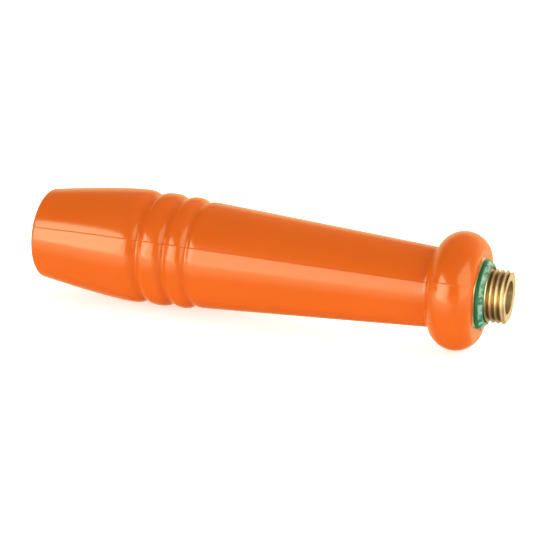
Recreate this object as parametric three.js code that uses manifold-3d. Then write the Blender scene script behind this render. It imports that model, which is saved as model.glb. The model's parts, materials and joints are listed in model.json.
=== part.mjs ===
// A grip-shaped dust blower: a long hollow moulded body with a brass threaded outlet sealed
// by a green washer at its front, an outlet check valve behind it, and an intake valve that
// pushes into the butt. All measures are in millimetres, and +Z is up.
//
// Every piece is drawn about the tool's own axis: x = 0 is the butt face, and x grows towards
// the outlet. The whole tool then lies on its side, rolled a little about that axis, with the
// origin on the table under the middle of its length.

import * as THREE from 'three';
import { mergeVertices } from 'three/addons/utils/BufferGeometryUtils.js';
import Module from 'manifold-3d';

const manifold = await Module();
manifold.setup();

// ---------- driving dimensions ----------

const overallLength = 122.2;
const rollAngle = THREE.MathUtils.degToRad(-28); // how it lies, turned about its own axis
const gap = 0.3; // between two pieces that touch

const fineFacets = 40; // round the body and its brass
const smallFacets = 20; // round the little valve pieces
const facetInset = Math.cos(Math.PI / fineFacets); // a flat's distance over its corners'

// body, from the butt forwards
const buttRadius = 11.65;
const buttCorner = 1.3;
const barrelCrest = { x: 26.3, radius: 14.5 };
const grooveXs = [30.0, 37.2, 42.9];
const grooveRadii = [13.3, 13.15, 12.95];
const ringRadii = [14.4, 14.15];
const taperStart = { x: 45.2, radius: 13.5 };
const neck = { x: 102.9, radius: 9.9 };
const bead = { x: 110, ringRadius: 8.4, sectionRadius: 6.3 };
const wall = 2.4;

// outlet
const bodyFrontX = 115.4; // the bead's front is cut off flat
const hexFrontX = bodyFrontX + 0.1;
const hexThickness = 4.2;
const hexAcrossFlats = 17;
const shank = { x: 96, radius: 7.0, grooveRadius: 6.3, grooveWidth: 1.5, grooveXs: [99, 103.2] };
const valveBore = { radius: 5.4, endX: 108 };
const outletBoreRadius = 4.0;
const threadPitch = 1.337; // G 1/4
const threadMajorRadius = 6.58;
const threadMinorRadius = 5.72;
const threadChamfer = 0.3;
const threadLand = { radius: 6.4, length: 1.7 }; // plain, under the washer
const washer = {
  x: hexFrontX + gap,
  thickness: 1.6,
  rimHeight: 0.5,
  outerRadius: 8.5,
  faceRadius: 7.4,
  innerRadius: threadMajorRadius + gap,
};

// outlet valve
const seat = { x: shank.x + gap, length: 2.7, radius: valveBore.radius - gap, holeRadius: 2.4 };
const seatSeal = { x: 98.5, ringRadius: 3.05, sectionRadius: 0.5 };
const ball = { x: 101.35, radius: 3.5 };
const outletSpring = { x: 104.1, endX: 107.6, radius: 2.6, endRadius: 4.5, wire: 0.25, turns: 3.5 };

// intake valve
const buttRecess = { radius: 8.9, depth: 1.8 };
const collar = { radius: 8.5, endX: 12, holeRadius: 6.4 };
const housing = { x: gap, endX: 13.5, radius: collar.holeRadius - gap, flangeRadius: 8.6 };
const inletBoreRadius = 4.0;
const filterRecess = { radius: 4.9, endX: 2.0 };
const spider = { x: 7.3, endX: 8.5, hubRadius: 2.0, holeRadius: 1.2 };
const valveSeat = { x: 10, holeRadius: 3.4, chamberRadius: 5.3 };
const ringGroove = { x: 4.4, width: 1.6, radius: 5.3 };
const stem = { x: 2.5, radius: 0.9, grooveX: 3.0, grooveEndX: 3.7, grooveRadius: 0.6 };
const poppetHead = { x: 11.1, endX: 12.3, radius: 4.5 };
const poppetSpring = { x: 4.2, endX: 7.05, radius: 1.7, wire: 0.2, turns: 4 };

// ---------- colours ----------

const finishes = {
  orangePlastic: { color: 0xe8601c, roughness: 0.2, metalness: 0 },
  greenSeal: { color: 0x2e8a5e, roughness: 0.35, metalness: 0 },
  brass: { color: 0xc79a52, roughness: 0.3, metalness: 1 },
  blackPlastic: { color: 0x1c1c1e, roughness: 0.55, metalness: 0 },
  blackRubber: { color: 0x141414, roughness: 0.7, metalness: 0 },
  springSteel: { color: 0xb4b6ba, roughness: 0.25, metalness: 1 },
};

// ---------- shaping tools ----------

// One closed surface: corners shared, and the collapsed triangles at a pole left out.
function welded(geometry) {
  geometry.deleteAttribute('normal');
  geometry.deleteAttribute('uv');
  const shared = mergeVertices(geometry, 1e-4);
  const corners = shared.index.array;
  const kept = [];
  for (let i = 0; i < corners.length; i += 3) {
    const [a, b, c] = corners.slice(i, i + 3);
    if (a !== b && b !== c && c !== a) kept.push(a, b, c);
  }
  shared.setIndex(kept);
  return shared;
}

function asSolid(geometry) {
  const shared = welded(geometry);
  const mesh = new manifold.Mesh({
    numProp: 3,
    vertProperties: shared.attributes.position.array,
    triVerts: new Uint32Array(shared.index.array),
  });
  return new manifold.Manifold(mesh);
}

function asGeometry(solid) {
  const mesh = solid.getMesh();
  const geometry = new THREE.BufferGeometry();
  geometry.setAttribute('position', new THREE.BufferAttribute(mesh.vertProperties, mesh.numProp));
  geometry.setIndex(new THREE.BufferAttribute(mesh.triVerts, 1));
  return geometry;
}

// A profile of [radius, x] corners, turned about the tool's axis.
function turned(profile, facets) {
  const points = profile.map(([radius, x]) => new THREE.Vector2(radius, x));
  const facetPhase = Math.PI / facets - rollAngle;
  const geometry = new THREE.LatheGeometry(points, facets, facetPhase);
  return geometry.rotateZ(-Math.PI / 2);
}

// A ring of rectangular section with its corners broken.
function plainRing(startX, endX, innerRadius, outerRadius, facets, bevel = 0) {
  const profile = [
    [innerRadius, startX],
    [outerRadius - bevel, startX],
    [outerRadius, startX + bevel],
    [outerRadius, endX - bevel],
    [outerRadius - bevel, endX],
    [innerRadius, endX],
    [innerRadius, startX],
  ];
  return welded(turned(profile, facets));
}

function oRing({ x, ringRadius, sectionRadius }) {
  const geometry = new THREE.TorusGeometry(ringRadius, sectionRadius, 8, smallFacets);
  return geometry.rotateY(Math.PI / 2).translate(x, 0, 0);
}

// A flat plate drawn across the axis, from startX to endX.
function plate(shape, startX, endX, curveSegments) {
  const options = { depth: endX - startX, bevelEnabled: false, curveSegments };
  return new THREE.ExtrudeGeometry(shape, options).rotateY(Math.PI / 2).translate(startX, 0, 0);
}

// An annular sector, centred on the given angle.
function sector(innerRadius, outerRadius, centreAngle, halfAngle) {
  const from = centreAngle - halfAngle;
  const to = centreAngle + halfAngle;
  const shape = new THREE.Shape();
  shape.absarc(0, 0, outerRadius, from, to, false);
  shape.absarc(0, 0, innerRadius, to, from, true);
  return shape;
}

// A right-handed helix about the tool's axis. Its frames keep one section axis radial.
class Helix extends THREE.Curve {
  constructor({ x, endX, radius, endRadius = radius, turns }) {
    super();
    Object.assign(this, { x, endX, radius, endRadius, turns });
  }

  getPoint(t, target = new THREE.Vector3()) {
    const angle = 2 * Math.PI * this.turns * t;
    const radius = THREE.MathUtils.lerp(this.radius, this.endRadius, t);
    const along = THREE.MathUtils.lerp(this.x, this.endX, t);
    return target.set(along, radius * Math.cos(angle), radius * Math.sin(angle));
  }

  getPointAt(t, target) {
    return this.getPoint(t, target);
  }

  computeFrenetFrames(segments) {
    const frames = { tangents: [], normals: [], binormals: [] };
    for (let i = 0; i <= segments; i += 1) {
      const angle = (2 * Math.PI * this.turns * i) / segments;
      frames.tangents.push(new THREE.Vector3(0, -Math.sin(angle), Math.cos(angle)));
      frames.normals.push(new THREE.Vector3(0, Math.cos(angle), Math.sin(angle)));
      frames.binormals.push(new THREE.Vector3(-1, 0, 0));
    }
    return frames;
  }
}

// A section of [outwards, along] corners, swept along a helix.
function swept(section, helix, stepsPerTurn) {
  const shape = new THREE.Shape(section.map(([out, along]) => new THREE.Vector2(out, along)));
  const steps = Math.ceil(helix.turns * stepsPerTurn);
  return new THREE.ExtrudeGeometry(shape, { steps, extrudePath: helix, bevelEnabled: false });
}

function coilSpring(spring) {
  const sides = 5;
  const section = [];
  for (let side = 0; side < sides; side += 1) {
    const angle = (2 * Math.PI * side) / sides;
    section.push([spring.wire * Math.cos(angle), spring.wire * Math.sin(angle)]);
  }
  return welded(swept(section, new Helix(spring), 14));
}

// A hexagonal prism about the axis, with a corner on the -Y side.
function hexPrism(startX, endX, acrossFlats) {
  const cornerRadius = acrossFlats / Math.sqrt(3);
  const geometry = new THREE.CylinderGeometry(cornerRadius, cornerRadius, endX - startX, 6, 1);
  return geometry.rotateZ(-Math.PI / 2).rotateX(Math.PI / 2).translate((startX + endX) / 2, 0, 0);
}

// ---------- the moulded body ----------

// Points of a raised ring between two grooves: a nearly flat crown with rounded shoulders.
function ringPoints(from, to, crownRadius) {
  const count = 6;
  const rise = crownRadius - (from.radius + to.radius) / 2;
  const points = [];
  for (let i = 1; i < count; i += 1) {
    const t = (1 - Math.cos((Math.PI * i) / count)) / 2;
    const radius = THREE.MathUtils.lerp(from.radius, to.radius, t);
    const crown = rise * (1 - Math.abs(2 * t - 1) ** 3);
    points.push([radius + crown, THREE.MathUtils.lerp(from.x, to.x, t)]);
  }
  return points;
}

function bodyOutside() {
  const path = new THREE.Path();
  path.moveTo(buttRecess.radius, 0);
  path.lineTo(buttRadius - buttCorner, 0);
  path.absarc(buttRadius - buttCorner, buttCorner, buttCorner, -Math.PI / 2, 0, false);
  path.quadraticCurveTo(barrelCrest.radius, 19.8, barrelCrest.radius, barrelCrest.x);
  path.quadraticCurveTo(barrelCrest.radius, 28.9, grooveRadii[0], grooveXs[0]);
  const points = path.getPoints(3).map(({ x, y }) => [x, y]);

  const grooves = grooveXs.map((x, i) => ({ x, radius: grooveRadii[i] }));
  ringRadii.forEach((crownRadius, i) => {
    points.push(...ringPoints(grooves[i], grooves[i + 1], crownRadius));
    points.push([grooves[i + 1].radius, grooves[i + 1].x]);
  });

  const front = new THREE.Path();
  front.moveTo(grooves[2].radius, grooves[2].x);
  front.quadraticCurveTo(taperStart.radius + 0.07, 43.5, taperStart.radius, taperStart.x);
  front.lineTo(neck.radius, neck.x);
  const footAngle = -THREE.MathUtils.degToRad(70);
  const footRadius = bead.ringRadius + bead.sectionRadius * Math.cos(footAngle);
  const footX = bead.x + bead.sectionRadius * Math.sin(footAngle);
  front.quadraticCurveTo(neck.radius, neck.x + 1.2, footRadius, footX);
  const frontAngle = Math.asin((bodyFrontX - bead.x) / bead.sectionRadius);
  front.absarc(bead.ringRadius, bead.x, bead.sectionRadius, footAngle, frontAngle, false);
  points.push(...front.getPoints(4).slice(1).map(({ x, y }) => [x, y]));
  return points;
}

function bodyInside() {
  const holeRadius = shank.radius + gap;
  const points = [[holeRadius, bodyFrontX]];
  // two inner ribs, moulded into the grooves of the brass shank
  for (const grooveX of [...shank.grooveXs].reverse()) {
    const ribStart = grooveX + gap;
    const ribEnd = grooveX + shank.grooveWidth - gap;
    const ribRadius = shank.grooveRadius + gap;
    points.push([holeRadius, ribEnd], [ribRadius, ribEnd]);
    points.push([ribRadius, ribStart], [holeRadius, ribStart]);
  }
  points.push([holeRadius, shank.x - 0.5]);
  points.push([taperStart.radius - wall, taperStart.x]);
  points.push([barrelCrest.radius - wall, barrelCrest.x]);
  points.push([buttRadius - 0.2, 9]);
  points.push([buttRadius - wall, 4.4]);
  points.push([collar.radius, 4]);
  points.push([collar.radius - 0.3, collar.endX]);
  points.push([collar.holeRadius, collar.endX]);
  points.push([collar.holeRadius, buttRecess.depth]);
  points.push([buttRecess.radius, buttRecess.depth]);
  points.push([buttRecess.radius, 0]);
  return points;
}

function bulbBody() {
  const shell = asSolid(turned([...bodyOutside(), ...bodyInside()], fineFacets));
  const pocketFloor = hexFrontX - hexThickness - gap;
  const pocket = asSolid(hexPrism(pocketFloor, bodyFrontX + 1, hexAcrossFlats + gap));
  return asGeometry(shell.subtract(pocket));
}

// ---------- the outlet ----------

function outletFitting() {
  const profile = [[outletBoreRadius, overallLength]];
  profile.push([outletBoreRadius, valveBore.endX], [valveBore.radius, valveBore.endX]);
  profile.push([valveBore.radius, shank.x], [shank.radius, shank.x]);
  for (const grooveX of shank.grooveXs) {
    const grooveEnd = grooveX + shank.grooveWidth;
    profile.push([shank.radius, grooveX], [shank.grooveRadius, grooveX]);
    profile.push([shank.grooveRadius, grooveEnd], [shank.radius, grooveEnd]);
  }
  const landEndX = hexFrontX + threadLand.length;
  profile.push([shank.radius, hexFrontX - 1], [threadLand.radius, hexFrontX - 1]);
  profile.push([threadLand.radius, landEndX], [threadMinorRadius, landEndX + 0.4]);
  profile.push([threadMinorRadius, overallLength], [outletBoreRadius, overallLength]);
  const core = asSolid(turned(profile, fineFacets));

  const hexBlank = asSolid(hexPrism(hexFrontX - hexThickness, hexFrontX, hexAcrossFlats));
  const hexCorner = hexAcrossFlats / Math.sqrt(3);
  const chamfered = turned([
    [threadMinorRadius - 0.1, hexFrontX - hexThickness - 1],
    [hexCorner + 1, hexFrontX - hexThickness - 1],
    [hexCorner + 1, hexFrontX - 1],
    [hexAcrossFlats / 2 + 0.6, hexFrontX + 0.1],
    [threadMinorRadius - 0.1, hexFrontX + 0.1],
    [threadMinorRadius - 0.1, hexFrontX - hexThickness - 1],
  ], fineFacets);
  const hex = hexBlank.intersect(asSolid(chamfered));
  return asGeometry(core.add(hex).add(thread()));
}

// The male thread: a tooth swept along its helix and trimmed to the chamfered end.
function thread() {
  const startX = hexFrontX + 1.15;
  const endX = overallLength + threadPitch;
  const turns = (endX - startX) / threadPitch;
  const rootDepth = threadMajorRadius - threadMinorRadius + 0.15;
  const tooth = [[-rootDepth, -0.58], [0, -0.1], [0, 0.1], [-rootDepth, 0.58]];
  const path = new Helix({ x: startX, endX, radius: threadMajorRadius, turns });
  const envelope = turned([
    [threadMinorRadius - 0.4, startX - threadPitch],
    [threadMajorRadius + 0.2, startX - threadPitch],
    [threadMajorRadius + 0.2, overallLength - threadChamfer - 0.2],
    [threadMajorRadius - threadChamfer, overallLength],
    [threadMinorRadius - 0.4, overallLength],
    [threadMinorRadius - 0.4, startX - threadPitch],
  ], fineFacets);
  return asSolid(swept(tooth, path, 20)).intersect(asSolid(envelope));
}

// Only the washer's foot is a plain cylinder: its front is a cone up to a narrow flat face.
function sealWasher() {
  const endX = washer.x + washer.thickness;
  return welded(turned([
    [washer.innerRadius, washer.x],
    [washer.outerRadius, washer.x],
    [washer.outerRadius, washer.x + washer.rimHeight],
    [washer.faceRadius, endX],
    [washer.innerRadius, endX],
    [washer.innerRadius, washer.x],
  ], fineFacets));
}

function outletValveSeat() {
  const sealPocket = { radius: 4.0, x: 97.9 };
  const endX = seat.x + seat.length;
  return welded(turned([
    [seat.holeRadius, seat.x],
    [seat.radius, seat.x],
    [seat.radius, endX],
    [sealPocket.radius, endX],
    [sealPocket.radius, sealPocket.x],
    [seat.holeRadius, sealPocket.x],
    [seat.holeRadius, seat.x],
  ], smallFacets));
}

function outletValveBall() {
  return new THREE.SphereGeometry(ball.radius, smallFacets, 10).translate(ball.x, 0, 0);
}

// ---------- the intake valve ----------

function intakeHousing() {
  const flangeEndX = buttRecess.depth - gap;
  const ringGrooveEnd = ringGroove.x + ringGroove.width;
  const blank = asSolid(turned([
    [filterRecess.radius, housing.x],
    [housing.flangeRadius - 0.4, housing.x],
    [housing.flangeRadius, housing.x + 0.4],
    [housing.flangeRadius, flangeEndX],
    [housing.radius, flangeEndX],
    [housing.radius, ringGroove.x],
    [ringGroove.radius, ringGroove.x],
    [ringGroove.radius, ringGrooveEnd],
    [housing.radius, ringGrooveEnd],
    [housing.radius, housing.endX - 0.5],
    [housing.radius - 0.5, housing.endX],
    [valveSeat.chamberRadius, housing.endX],
    [valveSeat.chamberRadius, valveSeat.x - 0.4],
    [valveSeat.holeRadius + 0.8, valveSeat.x - 0.4],
    [valveSeat.holeRadius + 0.5, valveSeat.x],
    [valveSeat.holeRadius, valveSeat.x],
    [valveSeat.holeRadius, spider.endX],
    [spider.holeRadius, spider.endX],
    [spider.holeRadius, spider.x],
    [inletBoreRadius, spider.x],
    [inletBoreRadius, filterRecess.endX],
    [filterRecess.radius, filterRecess.endX],
    [filterRecess.radius, housing.x],
  ], smallFacets));
  const webCount = 3;
  const windows = [];
  for (let web = 0; web < webCount; web += 1) {
    const centreAngle = (2 * Math.PI * web) / webCount;
    const shape = sector(spider.hubRadius, valveSeat.holeRadius - 0.1, centreAngle, 0.8);
    windows.push(asSolid(plate(shape, spider.x - 1, spider.endX + 1, 4)));
  }
  return asGeometry(windows.reduce((solid, window) => solid.subtract(window), blank));
}

function intakePoppet() {
  return welded(turned([
    [0, stem.x],
    [stem.radius - 0.2, stem.x],
    [stem.radius, stem.x + 0.2],
    [stem.radius, stem.grooveX],
    [stem.grooveRadius, stem.grooveX],
    [stem.grooveRadius, stem.grooveEndX],
    [stem.radius, stem.grooveEndX],
    [stem.radius, poppetHead.x],
    [poppetHead.radius, poppetHead.x],
    [poppetHead.radius, poppetHead.endX - 0.4],
    [poppetHead.radius - 0.4, poppetHead.endX],
    [0, poppetHead.endX],
  ], smallFacets));
}

function poppetSeal() {
  const startX = valveSeat.x + gap;
  const endX = poppetHead.x - 0.2;
  return plainRing(startX, endX, stem.radius + 0.2, poppetHead.radius, smallFacets, 0.1);
}

// A spring clip: an open ring in the groove of the stem.
function stemClip() {
  const shape = sector(stem.grooveRadius + 0.15, 2.2, 0, 2.6);
  return welded(plate(shape, stem.grooveX + 0.1, stem.grooveEndX - 0.1, 8));
}

function filterGauze() {
  const disc = new THREE.Shape().absarc(0, 0, filterRecess.radius - gap, 0, 2 * Math.PI, false);
  const pitch = 1.5;
  const holeRadius = 0.45;
  const rings = 2;
  for (let ring = 0; ring <= rings; ring += 1) {
    const holes = ring === 0 ? 1 : 6 * ring;
    for (let i = 0; i < holes; i += 1) {
      const angle = (2 * Math.PI * i) / holes;
      const [y, z] = [pitch * ring * Math.cos(angle), pitch * ring * Math.sin(angle)];
      disc.holes.push(new THREE.Path().absarc(y, z, holeRadius, 0, 2 * Math.PI, true));
    }
  }
  return welded(plate(disc, filterRecess.endX - 0.7, filterRecess.endX - 0.2, 4));
}

// The snap ring that keeps the gauze in: open by a short slot.
function filterRing() {
  const shape = sector(3.7, filterRecess.radius - 0.2, 0, 2.9);
  return welded(plate(shape, housing.x + 0.2, filterRecess.endX - 1.0, 10));
}

// ---------- assembly ----------

const tool = new THREE.Group();
tool.position.set(-overallLength / 2, 0, (bead.ringRadius + bead.sectionRadius) * facetInset);
tool.rotation.x = rollAngle;

function add(name, geometry, finish) {
  const mesh = new THREE.Mesh(geometry, new THREE.MeshStandardMaterial(finishes[finish]));
  mesh.name = name;
  tool.add(mesh);
}

const housingSeal = {
  x: ringGroove.x + ringGroove.width / 2,
  ringRadius: 5.84,
  sectionRadius: 0.48,
};

add('bulb_body', bulbBody(), 'orangePlastic');
add('outlet_fitting', outletFitting(), 'brass');
add('seal_washer', sealWasher(), 'greenSeal');
add('outlet_valve_seat', outletValveSeat(), 'brass');
add('outlet_seat_seal', oRing(seatSeal), 'blackRubber');
add('outlet_valve_ball', outletValveBall(), 'springSteel');
add('outlet_valve_spring', coilSpring(outletSpring), 'springSteel');
add('intake_valve_housing', intakeHousing(), 'blackPlastic');
add('intake_housing_seal', oRing(housingSeal), 'blackRubber');
add('intake_poppet', intakePoppet(), 'brass');
add('intake_poppet_seal', poppetSeal(), 'blackRubber');
add('intake_poppet_spring', coilSpring(poppetSpring), 'springSteel');
add('intake_stem_clip', stemClip(), 'springSteel');
add('intake_filter_gauze', filterGauze(), 'springSteel');
add('intake_filter_ring', filterRing(), 'springSteel');

const group = new THREE.Group();
group.add(tool);
export default group;
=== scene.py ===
"""The looks of the grip-shaped dust blower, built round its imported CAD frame.

Pieces are drawn about the tool's own axis, in millimetres from the butt face, and then laid
where the frame has the body: x grows towards the threaded outlet, and the whole tool is rolled
a little about its axis, so that its mould line shows on the camera's side.
"""

import json
import math

import bpy
import numpy as np
from mathutils import Matrix, Vector


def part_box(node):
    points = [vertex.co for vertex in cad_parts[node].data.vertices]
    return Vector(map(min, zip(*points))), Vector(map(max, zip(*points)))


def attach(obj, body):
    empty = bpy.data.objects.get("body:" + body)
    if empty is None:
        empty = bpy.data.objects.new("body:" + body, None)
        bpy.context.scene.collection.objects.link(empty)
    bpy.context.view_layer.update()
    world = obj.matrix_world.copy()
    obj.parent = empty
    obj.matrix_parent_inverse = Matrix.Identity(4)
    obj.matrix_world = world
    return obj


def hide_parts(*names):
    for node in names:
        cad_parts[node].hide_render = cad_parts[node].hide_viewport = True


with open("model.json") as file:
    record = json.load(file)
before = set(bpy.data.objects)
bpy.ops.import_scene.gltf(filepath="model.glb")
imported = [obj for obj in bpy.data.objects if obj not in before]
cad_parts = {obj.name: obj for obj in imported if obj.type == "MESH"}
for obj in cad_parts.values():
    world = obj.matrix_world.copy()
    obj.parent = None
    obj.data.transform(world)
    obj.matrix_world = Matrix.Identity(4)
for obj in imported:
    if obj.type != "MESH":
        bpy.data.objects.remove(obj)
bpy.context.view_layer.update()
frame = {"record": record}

MM = 0.001

# ---------- places, from the frame ----------

body_low, body_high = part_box("bulb_body")
fitting_low, fitting_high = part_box("outlet_fitting")
washer_low, washer_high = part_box("seal_washer")
BUTT_X = body_low.x
AXIS_Z = (body_low.z + body_high.z) / 2
ROLL = math.radians(-28)
LAY = Matrix.Translation((BUTT_X, 0, AXIS_Z)) @ Matrix.Rotation(ROLL, 4, "X")

LENGTH = (fitting_high.x - BUTT_X) / MM
CREST = (body_high.z - body_low.z) / 2 / MM
BODY_FRONT = (body_high.x - BUTT_X) / MM
SHANK_X = (fitting_low.x - BUTT_X) / MM
WASHER_X = (washer_low.x - BUTT_X) / MM
WASHER_END = (washer_high.x - BUTT_X) / MM
WASHER_RADIUS = (washer_high.y - washer_low.y) / 2 / MM

# ---------- shape of the body, in millimetres; pairs are (radius, x) or (x, radius) ----------

GAP = 0.3
WALL = 2.4
BUTT_RADIUS = 11.65
BUTT_CORNER = 1.3
BARREL_CREST = (14.5, 26.3)
GROOVES = [(30.0, 13.0), (37.2, 12.8), (42.9, 12.65)]
GROOVE_ROUNDING = 0.42
RING_CROWNS = [14.4, 14.15]
TAPER = [(45.2, 13.5), (102.9, 9.9)]
BEAD_SECTION = 6.3
BEAD_RING = CREST - BEAD_SECTION
BEAD_X = 110.0
BEAD_FOOT = math.radians(-70)

FLASH_HEIGHT, FLASH_WIDTH = 0.065, 0.09
STEP_HEIGHT, STEP_WIDTH = 0.05, 2.2

HEX_FLAT = 8.5
HEX_FRONT = BODY_FRONT + 0.1
HEX_THICK = 4.2
SHANK_RADIUS = 7.0
SHANK_GROOVES = [99.0, 103.2]
SHANK_GROOVE = (1.5, 6.3)
VALVE_BORE = (5.4, 108.0)
BORE = 4.0
PITCH = 1.337
MAJOR = 6.58
MINOR = 5.72
THREAD_START = HEX_FRONT + 1.3
THREAD_RUN_IN = 0.9
THREAD_CHAMFER = 0.3
LAND_RADIUS = 6.45

RECESS = (8.9, 1.8)
COLLAR_HOLE = 6.4
COLLAR_RADIUS = 8.5
COLLAR_END = 12.0
FILTER_RECESS = (4.9, 2.0)
INLET_BORE = 4.0
RING_GROOVE = (4.4, 6.0, 5.3)
SPIDER = (7.3, 8.5)
VALVE_LIP = (3.4, 10.0)
CHAMBER_RADIUS = 5.3
STEM_RADIUS = 0.9


# ---------- drawing tools ----------

def arc(centre, radius, start, end, count):
    """Points (radius from the axis, x) of an arc round centre, given the same way."""
    angles = np.linspace(start, end, count)
    return [(centre[0] + radius * math.cos(a), centre[1] + radius * math.sin(a)) for a in angles]


def curve(start, control, end, count):
    """Points of a quadratic curve, its first point left out."""
    points = []
    for t in np.linspace(0, 1, count + 1)[1:]:
        weights = ((1 - t) ** 2, 2 * t * (1 - t), t * t)
        points.append(tuple(sum(w * p[k] for w, p in zip(weights, (start, control, end)))
                            for k in range(2)))
    return points


def softened(profile, radius=0.15, closed=True):
    """The profile with its corners rounded off by short curves."""
    count = len(profile)
    points = []
    for i, here in enumerate(profile):
        if not closed and i in (0, count - 1):
            points.append(here)
            continue
        before = Vector(profile[i - 1]) - Vector(here)
        after = Vector(profile[(i + 1) % count]) - Vector(here)
        if before.angle(after) > math.radians(160):
            points.append(here)
            continue
        reach = min(radius, 0.4 * before.length, 0.4 * after.length)
        start = Vector(here) + before.normalized() * reach
        end = Vector(here) + after.normalized() * reach
        points.append(tuple(start))
        points.extend(curve(start, here, end, 3))
    return points


def even_angles(count):
    return np.linspace(0, 2 * math.pi, count, endpoint=False)


def make(name, vertices, faces, sharp=35):
    """A piece from points in millimetres about the tool's axis."""
    mesh = bpy.data.meshes.new(name)
    mesh.from_pydata((np.asarray(vertices) * MM).tolist(), [], faces)
    mesh.transform(LAY)
    mesh.validate()
    mesh.shade_smooth()
    mesh.set_sharp_from_angle(angle=math.radians(sharp))
    piece = bpy.data.objects.new(name, mesh)
    bpy.context.scene.collection.objects.link(piece)
    return piece


def revolved(rows, angles, closed=True, wedge=False):
    """Vertices and faces of rows turned about the axis.

    A row is (radius, x), each a number or one value per angle. Closed rows make a ring, open
    ones end on the axis. A wedge stops at its last angle and has flat ends.
    """
    count = len(angles)
    vertices, index = [], []
    for radius, x in rows:
        radii = np.broadcast_to(np.asarray(radius, float), count)
        xs = np.broadcast_to(np.asarray(x, float), count)
        if radii.max() < 1e-6:
            index.append([len(vertices)] * count)
            vertices.append((xs[0], 0, 0))
            continue
        index.append(list(range(len(vertices), len(vertices) + count)))
        vertices.extend(zip(xs, radii * np.cos(angles), radii * np.sin(angles)))
    faces = []
    last_row = len(rows) if closed else len(rows) - 1
    last_column = count - 1 if wedge else count
    for j in range(last_row):
        lower, upper = index[j], index[(j + 1) % len(rows)]
        for i in range(last_column):
            k = (i + 1) % count
            face = list(dict.fromkeys((lower[i], upper[i], upper[k], lower[k])))
            if len(face) > 2:
                faces.append(face)
    if wedge:
        faces.append([row[0] for row in index][::-1])
        faces.append([row[-1] for row in index])
    return vertices, faces


def swept(points, outwards, across, section):
    """A closed tube: section, as (out, across) offsets, carried along the points."""
    count = len(section)
    vertices = []
    for p, out, side in zip(points, outwards, across):
        vertices.extend(p + out * a + side * b for a, b in section)
    faces = []
    for j in range(len(points) - 1):
        for i in range(count):
            k = (i + 1) % count
            faces.append((j * count + i, j * count + k, (j + 1) * count + k, (j + 1) * count + i))
    faces.append(list(range(count))[::-1])
    faces.append(list(range(len(vertices) - count, len(vertices))))
    return vertices, faces


def circle(radius, count):
    return [(radius * math.cos(a), radius * math.sin(a)) for a in even_angles(count)]


def joined(parts):
    """Several closed bodies as one list of vertices and faces."""
    vertices, faces = [], []
    for part_vertices, part_faces in parts:
        base = len(vertices)
        vertices.extend(part_vertices)
        faces.extend([base + i for i in face] for face in part_faces)
    return vertices, faces


def hex_radius(angles, flat):
    """Distance from the axis to a hexagon's side. A corner lies at angle 0."""
    return flat / np.cos(np.mod(angles, math.pi / 3) - math.pi / 6)


# ---------- the moulded body ----------

def mould_angles():
    """Even angles, with more of them beside the two mould lines at 0 and 180 degrees."""
    near = [0.12, 0.3, 0.5, 0.75, 1.05]
    degrees = set(np.arange(0, 360, 1.5).round(3))
    for line in (0, 180):
        degrees |= {round((line + side * d) % 360, 3) for d in near for side in (-1, 1)}
    return np.radians(sorted(degrees))


def mould_line(angles):
    """How far the two mould halves stand out of true beside their joint, in millimetres."""
    offset = np.zeros_like(angles)
    for line, upper_sign in ((0, 1), (math.pi, -1)):
        away = np.angle(np.exp(1j * (angles - line))) * upper_sign * CREST
        flash = FLASH_HEIGHT * np.exp(-((away / FLASH_WIDTH) ** 2))
        step = np.where(away > 0, STEP_HEIGHT * np.exp(-np.abs(away) / STEP_WIDTH), 0)
        offset += flash + step
    return offset


def ring_points(start, end, crown, count=22):
    """A raised ring between two groove bottoms: a nearly flat crown with rounded shoulders."""
    points = []
    rise = crown - (start[1] + end[1]) / 2
    for i in range(1, count):
        t = (1 - math.cos(math.pi * i / count)) / 2
        base = start[1] + (end[1] - start[1]) * t
        x = start[0] + (end[0] - start[0]) * t
        points.append((base + rise * (1 - abs(2 * t - 1) ** 3), x))
    return points


def rounded_grooves(points):
    """The ringed part of the outline, redrawn with its valleys and shoulders rounded."""
    margin, overrun, spacing, kernel = 5, 3, 0.06, 1.5
    start, end = GROOVES[0][0] - margin, GROOVES[-1][0] + margin
    radii, xs = np.array(points).T
    even = np.arange(start - overrun, end + overrun, spacing)
    level = np.interp(even, xs, radii)
    reach = np.arange(-kernel, kernel + 0.01, spacing)
    weights = np.exp(-((reach / GROOVE_ROUNDING) ** 2) / 2)
    level = np.convolve(level, weights / weights.sum(), mode="same")
    kept = [k for k in range(0, len(even), 3) if start < even[k] < end]
    before = [p for p in points if p[1] <= start]
    after = [p for p in points if p[1] >= end]
    return before + [(level[k], even[k]) for k in kept] + after


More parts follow.
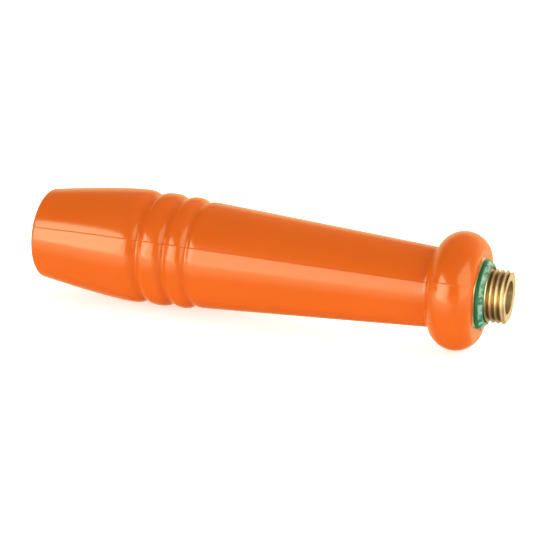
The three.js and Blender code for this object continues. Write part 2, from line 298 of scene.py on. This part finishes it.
def body_outside():
    """The outside, from the butt recess to the bead's widest point, as (radius, x)."""
    points = [(RECESS[0], 0.12), (RECESS[0] + 0.12, 0.0)]
    points += [(BUTT_RADIUS - BUTT_CORNER - 0.6, 0.0)]
    corner = (BUTT_RADIUS - BUTT_CORNER, BUTT_CORNER)
    points += arc(corner, BUTT_CORNER, -math.pi / 2, 0, 9)
    points += curve(points[-1], (BARREL_CREST[0], 19.8), BARREL_CREST, 26)
    groove_points = [(radius, x) for x, radius in GROOVES]
    points += curve(points[-1], (BARREL_CREST[0], 28.9), groove_points[0], 12)
    for i, crown in enumerate(RING_CROWNS):
        points += ring_points(GROOVES[i], GROOVES[i + 1], crown)
        points.append(groove_points[i + 1])
    taper_start, neck = [(radius, x) for x, radius in TAPER]
    points += curve(points[-1], (taper_start[0] + 0.07, 43.5), taper_start, 8)
    for t in np.linspace(0, 1, 25)[1:]:
        points.append(tuple(a + (b - a) * t for a, b in zip(taper_start, neck)))
    butt_end = [p for p in points if p[1] < BUTT_CORNER]
    points = butt_end + rounded_grooves(points[len(butt_end):])
    foot = (BEAD_RING + BEAD_SECTION * math.cos(BEAD_FOOT),
            BEAD_X + BEAD_SECTION * math.sin(BEAD_FOOT))
    points += curve(neck, (neck[0], neck[1] + 1.2), foot, 8)
    points += arc((BEAD_RING, BEAD_X), BEAD_SECTION, BEAD_FOOT, 0, 22)[1:]
    return points


def bead_front(angles, pocket):
    """Rows from the bead's widest point to the hexagonal pocket in its flat front."""
    ones = np.ones_like(angles)
    edge = math.asin((BODY_FRONT - BEAD_X) / BEAD_SECTION)
    round_part = arc((BEAD_RING, BEAD_X), BEAD_SECTION, 0, edge - 0.08, 20)[1:]
    rim = BEAD_RING + BEAD_SECTION * math.cos(edge)
    round_part += curve(round_part[-1], (rim, BODY_FRONT), (rim - 0.6, BODY_FRONT), 5)
    rows = [(radius * ones, x * ones) for radius, x in round_part]
    rows.append((pocket + 0.06, BODY_FRONT))
    rows.append((pocket, BODY_FRONT - 0.06))
    return rows


def body_inside():
    """The inside, from the pocket back to the butt recess, with two ribs and the collar."""
    hole = SHANK_RADIUS + GAP
    width, groove_radius = SHANK_GROOVE
    rib_radius = groove_radius + GAP
    points = [(hole, HEX_FRONT - HEX_THICK - GAP)]
    for groove_x in reversed(SHANK_GROOVES):
        start, end = groove_x + GAP, groove_x + width - GAP
        points += [(hole, end), (rib_radius, end), (rib_radius, start), (hole, start)]
    points += [(hole, SHANK_X - 0.5), (TAPER[0][1] - WALL, TAPER[0][0])]
    points += [(BARREL_CREST[0] - WALL, BARREL_CREST[1]), (BUTT_RADIUS - 0.2, 9)]
    points.append((BUTT_RADIUS - WALL, 4.4))
    points += [(COLLAR_RADIUS, 4), (COLLAR_RADIUS - 0.3, COLLAR_END), (COLLAR_HOLE, COLLAR_END)]
    points += [(COLLAR_HOLE, RECESS[1]), (RECESS[0], RECESS[1])]
    return points


def bulb_body():
    angles = mould_angles()
    stand_out = mould_line(angles)
    pocket = hex_radius(angles, HEX_FLAT + 0.04)
    rows = [(radius + stand_out, x) for radius, x in body_outside()]
    front = bead_front(angles, pocket)
    rows += [(radius + stand_out * fade, x) for (radius, x), fade
             in zip(front, np.linspace(1, 0, len(front)))]
    rows.append((pocket, HEX_FRONT - HEX_THICK - GAP))
    rows += body_inside()
    return make("orange_bulb_body", *revolved(rows, angles))


# ---------- the outlet ----------

def thread_radius(angles, x):
    """The male thread: slightly rounded crests and roots, starting from a plain land."""
    wave = 1 - 4 * np.abs(np.mod(x / PITCH - angles / (2 * math.pi) + 0.25, 1) - 0.5)
    shape = 0.65 * np.clip(wave * 1.25, -1, 1) + 0.35 * np.sin(wave * math.pi / 2)
    cut = np.clip((x - THREAD_START) / THREAD_RUN_IN, 0, 1)
    full = MINOR + (MAJOR - MINOR) * (shape + 1) / 2
    radius = LAND_RADIUS + (full - LAND_RADIUS) * cut
    chamfer = MAJOR - (x - (LENGTH - THREAD_CHAMFER - 0.1))
    return np.minimum(radius, chamfer)


def outlet_fitting():
    angles = even_angles(240)
    hexagon = hex_radius(angles, HEX_FLAT)
    cone, cone_slope, cone_length = HEX_FLAT + 0.55, 1.7, 0.9
    width, groove_radius = SHANK_GROOVE
    hex_back = HEX_FRONT - HEX_THICK
    rows = [(VALVE_BORE[0] + 0.2, SHANK_X), (SHANK_RADIUS - 0.3, SHANK_X)]
    rows.append((SHANK_RADIUS, SHANK_X + 0.3))
    for groove_x in SHANK_GROOVES:
        rows += [(SHANK_RADIUS, groove_x), (groove_radius, groove_x)]
        rows += [(groove_radius, groove_x + width), (SHANK_RADIUS, groove_x + width)]
    rows += [(SHANK_RADIUS, hex_back), (hexagon - 0.1, hex_back), (hexagon, hex_back + 0.1)]
    for x in np.linspace(HEX_FRONT - cone_length, HEX_FRONT - 0.06, 8):
        rows.append((np.minimum(hexagon, cone + (HEX_FRONT - x) * cone_slope), x))
    rows.append((np.minimum(hexagon, cone) - 0.06, HEX_FRONT))
    rows += [(LAND_RADIUS + 0.15, HEX_FRONT), (LAND_RADIUS, HEX_FRONT + 0.15)]
    for x in np.arange(THREAD_START - 0.1, LENGTH - 0.02, PITCH / 28):
        rows.append((thread_radius(angles, x), x))
    rows.append((thread_radius(angles, LENGTH - 0.02) - 0.04, LENGTH))
    rows += [(BORE + 0.35, LENGTH), (BORE + 0.1, LENGTH - 0.12), (BORE, LENGTH - 0.4)]
    rows += [(BORE, VALVE_BORE[1] + 0.15), (BORE + 0.15, VALVE_BORE[1])]
    rows += [(VALVE_BORE[0], VALVE_BORE[1]), (VALVE_BORE[0], SHANK_X + 0.2)]
    return make("brass_outlet_fitting", *revolved(rows, angles))


def seal_washer():
    """Its foot is a plain cylinder, and its front a cone up to a lip beside the thread."""
    inner = MAJOR + 0.05
    back = HEX_FRONT + 0.05
    profile = [(inner, back), (WASHER_RADIUS, back), (WASHER_RADIUS, WASHER_X + 0.5)]
    profile += [(7.4, WASHER_END), (6.8, WASHER_END), (inner, WASHER_END - 0.15)]
    return make("green_seal_washer", *revolved(softened(profile, 0.25), even_angles(160)))


def box_profile(node):
    """(start x, end x, outer radius) of a round CAD node, in millimetres from the butt."""
    low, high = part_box(node)
    return (low.x - BUTT_X) / MM, (high.x - BUTT_X) / MM, (high.y - low.y) / 2 / MM


def outlet_valve_seat():
    start, end, outer = box_profile("outlet_valve_seat")
    profile = [(2.4, start), (outer, start), (outer, end), (4.0, end), (4.0, 97.9), (2.4, 97.9)]
    return make("brass_valve_seat", *revolved(softened(profile), even_angles(96)))


def o_ring(name, node, section_radius):
    start, end, outer = box_profile(node)
    centre = (outer - section_radius, (start + end) / 2)
    profile = arc(centre, section_radius, 0, 2 * math.pi, 25)[:-1]
    return make(name, *revolved(profile, even_angles(120)))


def outlet_ball():
    start, end, radius = box_profile("outlet_valve_ball")
    profile = arc((0, (start + end) / 2), radius, -math.pi / 2, math.pi / 2, 33)
    profile[0], profile[-1] = (0, profile[0][1]), (0, profile[-1][1])
    return make("steel_valve_ball", *revolved(profile, even_angles(64), closed=False))


def coil_spring(name, node, wire, start_radius, end_radius, turns):
    """A compression spring whose end turns lie flat."""
    start, end, _ = box_profile(node)
    start, end = start + wire, end - wire
    t = np.linspace(0, 1, int(turns * 48))
    angles = 2 * math.pi * turns * t
    dead = 0.75 / turns
    rise = np.clip((t - dead) / (1 - 2 * dead), 0, 1)
    flat = 0.12 * (np.clip(t / dead, 0, 1) + np.clip((t - 1 + dead) / dead, 0, 1)) / 2
    along = start + (end - start) * (rise * 0.88 + flat)
    radii = start_radius + (end_radius - start_radius) * t
    zeros = np.zeros_like(t)
    outwards = np.stack([zeros, np.cos(angles), np.sin(angles)], 1)
    points = outwards * radii[:, None] + np.stack([along, zeros, zeros], 1)
    across = np.tile([-1.0, 0, 0], (len(t), 1))
    return make(name, *swept(points, outwards, across, circle(wire, 10)))


# ---------- the intake valve ----------

def subtract(piece, cutters):
    """Cuts the cutters out of the piece, and removes them."""
    for cutter in cutters:
        cut = piece.modifiers.new("cut", "BOOLEAN")
        cut.operation, cut.solver, cut.object = "DIFFERENCE", "EXACT", cutter
    shown = piece.evaluated_get(bpy.context.evaluated_depsgraph_get())
    mesh = bpy.data.meshes.new_from_object(shown)
    piece.modifiers.clear()
    piece.data = mesh
    for cutter in cutters:
        bpy.data.objects.remove(cutter)
    mesh.shade_smooth()
    mesh.set_sharp_from_angle(angle=math.radians(35))
    return piece


def intake_housing():
    start, end, flange = box_profile("intake_valve_housing")
    barrel, flange_end = COLLAR_HOLE - GAP, 1.5
    recess_radius, recess_end = FILTER_RECESS
    groove_x, groove_end, groove_radius = RING_GROOVE
    lip_radius, lip_x = VALVE_LIP
    profile = [(recess_radius, start), (flange, start), (flange, flange_end)]
    profile += [(barrel, flange_end), (barrel, groove_x), (groove_radius, groove_x)]
    profile += [(groove_radius, groove_end), (barrel, groove_end), (barrel, end)]
    profile += [(CHAMBER_RADIUS, end), (CHAMBER_RADIUS, lip_x - 0.4)]
    profile += [(lip_radius + 0.8, lip_x - 0.4), (lip_radius + 0.5, lip_x), (lip_radius, lip_x)]
    profile += [(lip_radius, SPIDER[1]), (1.2, SPIDER[1]), (1.2, SPIDER[0])]
    profile += [(INLET_BORE, SPIDER[0]), (INLET_BORE, recess_end), (recess_radius, recess_end)]
    housing = make("intake_housing", *revolved(softened(profile, 0.2), even_angles(120)))
    cutters = []
    front, back = SPIDER[0] - 1, SPIDER[1] + 1
    for opening in range(3):
        centre = 2 * math.pi * opening / 3
        angles = np.linspace(centre - 0.8, centre + 0.8, 24)
        window = [(2.0, front), (3.3, front), (3.3, back), (2.0, back)]
        cutters.append(make("window", *revolved(window, angles, wedge=True)))
    return subtract(housing, cutters)


def intake_poppet():
    start, end, head = box_profile("intake_poppet")
    head_x, (groove_x, groove_end, groove_radius) = 11.1, (3.0, 3.7, 0.6)
    profile = [(0, start), (STEM_RADIUS - 0.2, start), (STEM_RADIUS, start + 0.2)]
    profile += [(STEM_RADIUS, groove_x), (groove_radius, groove_x), (groove_radius, groove_end)]
    profile += [(STEM_RADIUS, groove_end), (STEM_RADIUS, head_x), (head, head_x)]
    profile += [(head, end - 0.4), (head - 0.4, end)]
    profile += [(1.6, end), (1.2, end - 0.25), (0, end - 0.25)]
    soft = softened(profile, 0.12, closed=False)
    return make("brass_intake_poppet", *revolved(soft, even_angles(96), closed=False))


def poppet_seal():
    start, end, outer = box_profile("intake_poppet_seal")
    profile = [(1.1, start), (outer, start), (outer, end), (1.1, end)]
    return make("rubber_poppet_seal", *revolved(softened(profile), even_angles(96)))


def open_ring(name, node, inner, outer, half_angle):
    """A flat ring open at one side, with rounded edges."""
    start, end, _ = box_profile(node)
    profile = [(inner, start), (outer, start), (outer, end), (inner, end)]
    angles = np.linspace(-half_angle, half_angle, 90)
    return make(name, *revolved(softened(profile, 0.1), angles, wedge=True))


def filter_gauze():
    """Plain woven wire cloth, cut round, each wire passing over and under its neighbours."""
    start, end, radius = box_profile("intake_filter_gauze")
    level, wire, pitch = (start + end) / 2, 0.1, 0.55
    along_y, along_z = np.array([0, 1.0, 0]), np.array([0, 0, 1.0])
    out = np.array([1.0, 0, 0])
    count = int(radius / pitch)
    wires = []
    for run, side, phase in ((along_y, along_z, 0), (along_z, along_y, 1)):
        for i in range(-count, count + 1):
            reach = math.sqrt(radius**2 - (i * pitch) ** 2)
            s = np.arange(-reach, reach, pitch / 6)
            lift = wire * np.cos(math.pi * (s / pitch + i + phase))
            points = np.outer(s, run) + side * i * pitch + np.outer(level + lift, out)
            tiled = np.tile(side, (len(s), 1)), np.tile(out, (len(s), 1))
            wires.append(swept(points, *tiled, circle(wire, 6)))
    return make("wire_filter_gauze", *joined(wires), sharp=60)


# ---------- materials ----------

def add_node(tree, kind, inputs, **settings):
    """A new node in the tree, its inputs linked to sockets or set to constants."""
    node = tree.nodes.new(kind)
    for key, value in settings.items():
        setattr(node, key, value)
    for socket, value in inputs.items():
        if isinstance(value, bpy.types.NodeSocket):
            tree.links.new(value, node.inputs[socket])
        else:
            node.inputs[socket].default_value = value
    return node


class Shader:
    """A node material: one Principled shader, and short ways to add texture to it."""

    def __init__(self, name, **constants):
        self.material = bpy.data.materials.new(name)
        self.material.use_nodes = True
        self.tree = self.material.node_tree
        self.surface = self.tree.nodes["Principled BSDF"]
        for socket, value in constants.items():
            self.surface.inputs[socket.replace("_", " ")].default_value = value
        point = self.node("ShaderNodeTexCoord", {}).outputs["Object"]
        to_axis = {"Vector": point, "Location": (-BUTT_X, 0, -AXIS_Z)}
        self.place = self.node("ShaderNodeMapping", to_axis).outputs["Vector"]
        self.normal = None

    def node(self, kind, inputs, **settings):
        return add_node(self.tree, kind, inputs, **settings)

    def stretched(self, scale):
        """Object coordinates, stretched or squeezed along each axis."""
        mapping = self.node("ShaderNodeMapping", {"Vector": self.place, "Scale": scale})
        return mapping.outputs["Vector"]

    def noise(self, scale, detail=3.0, roughness=0.55, place=None, distortion=0.0):
        inputs = {"Vector": place or self.place, "Scale": scale, "Detail": detail,
                  "Roughness": roughness, "Distortion": distortion}
        return self.node("ShaderNodeTexNoise", inputs).outputs["Fac"]

    def spread(self, value, low, high, to_low=0.0, to_high=1.0):
        inputs = {"Value": value, "From Min": low, "From Max": high, "To Min": to_low,
                  "To Max": to_high}
        return self.node("ShaderNodeMapRange", inputs).outputs["Result"]

    def times(self, first, second):
        return self.node("ShaderNodeMath", {0: first, 1: second},
                         operation="MULTIPLY").outputs["Value"]

    def mix(self, factor, first, second):
        # 0, 6 and 7 are the factor and the two colours of a colour mix, and 2 is its result
        inputs = {0: factor, 6: first, 7: second}
        return self.node("ShaderNodeMix", inputs, data_type="RGBA").outputs[2]

    def radial(self):
        """Distance from the tool's axis, in metres."""
        split = self.node("ShaderNodeSeparateXYZ", {"Vector": self.place})
        flat = self.node("ShaderNodeCombineXYZ", {"Y": split.outputs["Y"],
                                                  "Z": split.outputs["Z"]})
        length = self.node("ShaderNodeVectorMath", {0: flat.outputs["Vector"]},
                           operation="LENGTH")
        return length.outputs["Value"]

    def bump(self, height, distance, strength=1.0):
        inputs = {"Height": height, "Distance": distance, "Strength": strength}
        if self.normal is not None:
            inputs["Normal"] = self.normal
        self.normal = self.node("ShaderNodeBump", inputs).outputs["Normal"]

    def finish(self, color=None, roughness=None):
        linked = {"Base Color": color, "Roughness": roughness, "Normal": self.normal}
        for socket, value in linked.items():
            if value is not None:
                self.tree.links.new(value, self.surface.inputs[socket])
        return self.material


def orange_plastic():
    """Glossy moulded plastic: faint flow marks, soft sink waves and a little orange peel."""
    shader = Shader("orange_plastic", Subsurface_Weight=0.12,
                    Subsurface_Radius=(0.0030, 0.0009, 0.0002), Subsurface_Scale=1.0,
                    IOR=1.46, Specular_IOR_Level=0.5)
    flow = shader.noise(70, place=shader.stretched((0.25, 1, 1)), detail=4)
    color = shader.mix(shader.spread(flow, 0.35, 0.65), (0.645, 0.111, 0.008, 1),
                       (0.615, 0.103, 0.007, 1))
    scuffs = shader.noise(900, place=shader.stretched((0.12, 1, 1)), detail=5, roughness=0.7)
    wear_and_sheen = shader.noise(45, detail=2)
    worn = shader.times(shader.spread(scuffs, 0.62, 0.72), shader.spread(wear_and_sheen, 0.5, 0.7))
    roughness = shader.spread(worn, 0, 1, 0.17, 0.3)
    shader.bump(shader.noise(110, detail=1.0), 0.00004)
    shader.bump(shader.noise(1700, detail=2.0), 0.0000025)
    return shader.finish(color, roughness)


def green_seal():
    """Pressed fibre sealing washer: dark green at its edges, its face streaked with a pale
    grey-green painted highlight.
    """
    shader = Shader("green_seal", Subsurface_Weight=0.05,
                    Subsurface_Radius=(0.0006, 0.0012, 0.0008), Subsurface_Scale=1.0)
    radius = shader.radial()
    streaks = shader.noise(520, place=shader.stretched((0.3, 1, 1)), detail=5, roughness=0.7)
    face = shader.times(shader.spread(radius, 0.0071, 0.0075),
                        shader.spread(radius, 0.0084, 0.0082))
    # painted highlight: pale grey-green streaks over the face ring stand in for its reflection,
    # and the same mask makes them rougher
    wear_and_sheen = shader.times(shader.spread(streaks, 0.42, 0.60), face)
    color = shader.mix(wear_and_sheen, (0.001, 0.165, 0.070, 1), (0.350, 0.480, 0.430, 1))
    roughness = shader.spread(wear_and_sheen, 0, 1, 0.22, 0.45)
    shader.bump(streaks, 0.00004)
    return shader.finish(color, roughness)


def brass():
    """Turned brass: fine tool marks round the axis, light tarnish, and painted shade in the
    thread roots and the bores.
    """
    shader = Shader("brass", Metallic=1.0)
    tarnish = shader.noise(500, detail=5, roughness=0.65)
    brass_tone = shader.mix(shader.spread(tarnish, 0.45, 0.75), (0.96, 0.77, 0.70, 1),
                       (0.76, 0.53, 0.40, 1))
    # painted shade: the thread is darkened from its crests down to its roots, and the bores are
    # darkened too, the outlet bore half as much; the end face is left out
    along = shader.node("ShaderNodeSeparateXYZ", {"Vector": shader.place}).outputs["X"]
    behind_face = shader.spread(along, (LENGTH - 0.05) * MM, (LENGTH - 0.2) * MM)
    radius = shader.radial()
    sunk = shader.spread(radius, (MAJOR - 0.15) * MM, (MINOR + 0.05) * MM)
    outside = shader.spread(radius, (BORE + 0.8) * MM, (BORE + 1.2) * MM, 0.5, 1)
    painted_root_shade = shader.times(shader.times(behind_face, sunk), outside)
    color = shader.mix(painted_root_shade, brass_tone, (0.48, 0.31, 0.14, 1))
    lathe = shader.noise(5500, place=shader.stretched((1, 0.02, 0.02)), detail=2)
    facing = shader.node("ShaderNodeCombineXYZ", {"X": radius}).outputs["Vector"]
    rings = shader.noise(4200, place=facing, detail=2)
    roughness = shader.spread(tarnish, 0.35, 0.75, 0.34, 0.5)
    shader.bump(lathe, 0.000012)
    shader.bump(rings, 0.000010)
    return shader.finish(color, roughness)


def black_plastic():
    shader = Shader("black_plastic")
    grain = shader.noise(2600, detail=4)
    color = shader.mix(shader.noise(120), (0.012, 0.012, 0.013, 1), (0.024, 0.024, 0.026, 1))
    shader.bump(grain, 0.00002)
    return shader.finish(color, shader.spread(grain, 0.3, 0.7, 0.42, 0.62))


def black_rubber():
    shader = Shader("black_rubber")
    bloom = shader.noise(380, detail=4)
    color = shader.mix(shader.spread(bloom, 0.4, 0.7), (0.010, 0.010, 0.010, 1),
                       (0.028, 0.028, 0.029, 1))
    shader.bump(shader.noise(3000, detail=3), 0.00001)
    return shader.finish(color, shader.spread(bloom, 0.3, 0.7, 0.6, 0.8))


def spring_steel():
    shader = Shader("spring_steel", Metallic=1.0)
    drawn = shader.noise(1800, detail=4, roughness=0.6)
    color = shader.mix(shader.spread(drawn, 0.35, 0.7), (0.62, 0.62, 0.63, 1),
                       (0.40, 0.40, 0.41, 1))
    shader.bump(drawn, 0.000004)
    return shader.finish(color, shader.spread(drawn, 0.3, 0.7, 0.18, 0.34))


def floor_paper():
    """A pale paper sweep, lightly mottled."""
    shader = Shader("floor_paper", Roughness=0.9, Emission_Color=(1, 1, 1, 1),
                    Emission_Strength=0.55)
    mottle = shader.noise(30, detail=4)
    color = shader.mix(mottle, (0.90, 0.90, 0.90, 1), (0.93, 0.93, 0.93, 1))
    return shader.finish(color)


# ---------- putting it together ----------

def place(piece, node, slot, material):
    piece.data.materials.clear()
    piece.data.materials.append(material)
    body = next(b for b, members in frame["record"]["behaviour"]["bodies"].items()
                if node in members)
    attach(piece, body)
    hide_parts(node)


MATERIALS = {make_one.__name__: make_one() for make_one in
             (orange_plastic, green_seal, brass, black_plastic, black_rubber, spring_steel)}
SLOTS = {entry["node"]: entry["material_slot"] for entry in frame["record"]["subparts"]}
PIECES = {
    "bulb_body": bulb_body(),
    "outlet_fitting": outlet_fitting(),
    "seal_washer": seal_washer(),
    "outlet_valve_seat": outlet_valve_seat(),
    "outlet_seat_seal": o_ring("rubber_seat_seal", "outlet_seat_seal", 0.5),
    "outlet_valve_ball": outlet_ball(),
    "outlet_valve_spring": coil_spring("outlet_spring", "outlet_valve_spring", 0.25, 2.6, 4.5,
                                       3.5),
    "intake_valve_housing": intake_housing(),
    "intake_housing_seal": o_ring("rubber_housing_seal", "intake_housing_seal", 0.48),
    "intake_poppet": intake_poppet(),
    "intake_poppet_seal": poppet_seal(),
    "intake_poppet_spring": coil_spring("intake_spring", "intake_poppet_spring", 0.2, 1.7, 1.7,
                                        5),
    "intake_stem_clip": open_ring("stem_clip", "intake_stem_clip", 0.75, 2.2, 2.6),
    "intake_filter_gauze": filter_gauze(),
    "intake_filter_ring": open_ring("filter_snap_ring", "intake_filter_ring", 3.7, 4.7, 2.9),
}
for node_name, piece in PIECES.items():
    place(piece, node_name, SLOTS[node_name], MATERIALS[SLOTS[node_name]])


# ---------- floor, light and camera ----------

def direction(azimuth, elevation):
    """Unit vector from the object; azimuth 0 is -Y and 90 is +X, as for the camera."""
    a, e = math.radians(azimuth), math.radians(elevation)
    return Vector((math.sin(a) * math.cos(e), -math.cos(a) * math.cos(e), math.sin(e)))


def softbox(name, azimuths, elevations, radiance, distance=1.4, color=(1, 1, 1),
            mirrored=True, lights=True):
    """An area light that fills this range of directions, seen from the object.

    One that is not mirrored leaves no highlight, and one that lights nothing is only mirrored.
    """
    middle = direction(sum(azimuths) / 2, sum(elevations) / 2)
    width = 2 * distance * math.tan(math.radians(azimuths[1] - azimuths[0]) / 2)
    height = 2 * distance * math.tan(math.radians(elevations[1] - elevations[0]) / 2)
    data = bpy.data.lights.new(name, "AREA")
    data.shape, data.size, data.size_y = "RECTANGLE", width, height
    data.energy = radiance * math.pi * width * height
    data.color = color
    lamp = bpy.data.objects.new(name, data)
    lamp.location = middle * distance + Vector((0, 0, AXIS_Z))
    lamp.rotation_mode = "QUATERNION"
    lamp.rotation_quaternion = middle.to_track_quat("Z", "Y")
    lamp.visible_camera = False
    lamp.visible_glossy = mirrored
    lamp.visible_diffuse = lights
    bpy.context.scene.collection.objects.link(lamp)


CAMERA_DIRECTION = (20.2, 22.8)
CAMERA_DISTANCE = 0.5
CAMERA_AIM_X = 60
CAMERA_DROP = 0.82
LENS, SENSOR = 135.1, 36


def camera():
    """A long lens half a metre away, looking down at the front corner of the tool."""
    aim = Vector((BUTT_X + CAMERA_AIM_X * MM, 0, AXIS_Z))
    back = direction(*CAMERA_DIRECTION)
    rotation = back.to_track_quat("Z", "Y")
    data = bpy.data.cameras.new("camera")
    data.sensor_width, data.lens = SENSOR, LENS
    data.clip_start, data.clip_end = 0.02, 20
    eye = bpy.data.objects.new("camera", data)
    below = rotation @ Vector((0, -CAMERA_DROP * MM, 0))
    eye.location = aim + back * CAMERA_DISTANCE + below
    eye.rotation_mode = "QUATERNION"
    eye.rotation_quaternion = rotation
    bpy.context.scene.collection.objects.link(eye)
    bpy.context.scene.camera = eye


def floor():
    reach = 6.0
    corners = [(-reach, -reach, 0), (reach, -reach, 0), (reach, reach, 0), (-reach, reach, 0)]
    mesh = bpy.data.meshes.new("floor")
    mesh.from_pydata(corners, [], [(0, 1, 2, 3)])
    mesh.materials.append(floor_paper())
    sheet = bpy.data.objects.new("floor", mesh)
    sheet.visible_glossy = False
    bpy.context.scene.collection.objects.link(sheet)


def glow(tree, way, azimuth, reach, rise, fall, strength):
    """Light round an azimuth, fading in and out over two spans of height, from -1 to 1."""
    def ranged(value, low, high, to_low, to_high):
        inputs = {"Value": value, "From Min": low, "From Max": high, "To Min": to_low,
                  "To Max": to_high}
        return add_node(tree, "ShaderNodeMapRange", inputs,
                        interpolation_type="SMOOTHSTEP").outputs["Result"]

    def times(first, second):
        return add_node(tree, "ShaderNodeMath", {0: first, 1: second},
                        operation="MULTIPLY").outputs["Value"]

    height = add_node(tree, "ShaderNodeSeparateXYZ", {"Vector": way}).outputs["Z"]
    band = times(ranged(height, *rise, 0, strength), ranged(height, *fall, 1, 0))
    towards = add_node(tree, "ShaderNodeVectorMath", {0: way, 1: direction(azimuth, 0)},
                       operation="DOT_PRODUCT").outputs["Value"]
    edge = math.cos(math.radians(reach))
    return times(band, ranged(towards, edge, min(edge + 0.4, 1), 0, 1))


def backdrop():
    """A pale wall far round the set, seen behind it and otherwise letting all light through."""
    radius, height, sides = 5.9, 4.0, 64
    angles = even_angles(sides)
    ring = [(radius * math.cos(a), radius * math.sin(a)) for a in angles]
    corners = [(x, y, z) for z in (0, height) for x, y in ring]
    faces = [(i, (i + 1) % sides, sides + (i + 1) % sides, sides + i) for i in range(sides)]
    mesh = bpy.data.meshes.new("backdrop")
    mesh.from_pydata(corners, [], faces)
    paper = Shader("backdrop_paper", Base_Color=(0, 0, 0, 1), Specular_IOR_Level=0.0,
                   Emission_Color=(1, 1, 1, 1), Emission_Strength=1.0)
    mesh.materials.append(paper.finish())
    wall = bpy.data.objects.new("backdrop", mesh)
    wall.visible_diffuse = wall.visible_glossy = wall.visible_shadow = False
    bpy.context.scene.collection.objects.link(wall)


# azimuth, reach, span of height that it fades in over, span that it fades out over, strength
GLOWS = [
    (-34, 60, (-0.55, 0.0), (0.0, 0.1), 3.0),
    (75, 50, (-0.5, 0.0), (0.0, 0.1), 1.6),
    (180, 100, (-0.9, -0.5), (0.2, 0.5), 0.8),
]
WORLD_BASE = 0.15
WORLD_COLOR = (1, 0.92, 0.48, 1)
WARM = (0.85, 1, 0.62)
WARM_SIDE = (0.9, 1, 0.55)


def surroundings():
    """The world's glow, lights that are only mirrored, and lights that only light surfaces."""
    world = bpy.data.worlds.new("studio")
    world.use_nodes = True
    tree = world.node_tree
    way = add_node(tree, "ShaderNodeTexCoord", {}).outputs["Generated"]
    light = WORLD_BASE
    for lobe in GLOWS:
        light = add_node(tree, "ShaderNodeMath", {0: glow(tree, way, *lobe), 1: light},
                         operation="ADD").outputs["Value"]
    background = tree.nodes["Background"]
    background.inputs["Color"].default_value = WORLD_COLOR
    tree.links.new(light, background.inputs["Strength"])
    bpy.context.scene.world = world
    bpy.context.scene.view_settings.view_transform = "Standard"
    softbox("key", (-58, -24), (0, 38), 7.4, color=WARM, lights=False)
    softbox("key_edge", (-24, -4), (0, 31), 5.0, color=WARM, lights=False)
    softbox("key_wash", (-58, -4), (0, 38), 3.1, mirrored=False)
    softbox("side", (45, 95), (0, 50), 3.0, color=WARM_SIDE, lights=False)
    softbox("side_wash", (45, 100), (0, 50), 1.8, mirrored=False)
    softbox("overhead", (-40, 40), (60, 120), 0.7, mirrored=False)
    softbox("rear", (130, 210), (10, 50), 4.2, mirrored=False)


camera()
floor()
backdrop()
surroundings()
